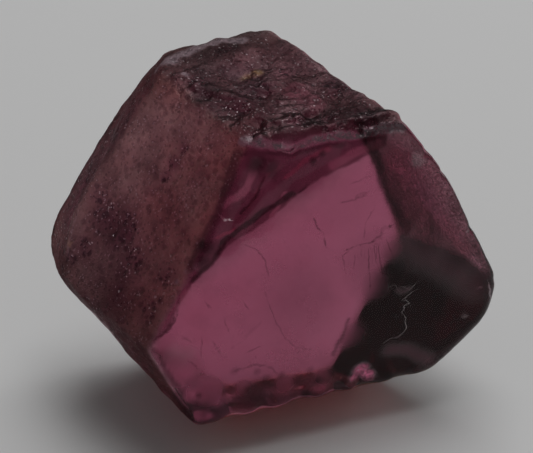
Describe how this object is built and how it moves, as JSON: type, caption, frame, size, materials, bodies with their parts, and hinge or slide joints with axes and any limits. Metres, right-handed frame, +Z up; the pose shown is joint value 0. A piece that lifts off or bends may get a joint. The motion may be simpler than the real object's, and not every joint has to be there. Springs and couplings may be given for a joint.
{
  "type": "rough rubellite tourmaline crystal",
  "caption": "Rough, uncut pink tourmaline: a clear blocky crystal fragment with a smooth broken front, frosted etched sides, a pitted top and a flat base to rest on.",
  "frame": {"origin": "middle of the bounding box, at the level of the base", "axes": "-Y towards the smooth broken front face, +X towards its right side, +Z up from the surface it rests on"},
  "size_m": [0.0136, 0.0082, 0.0104],
  "materials": {
    "rubellite": "clear deep pink, frosted brown-pink on the etched faces"
  },
  "bodies": {
    "root": {"stone": "rubellite"}
  },
  "joints": []
}
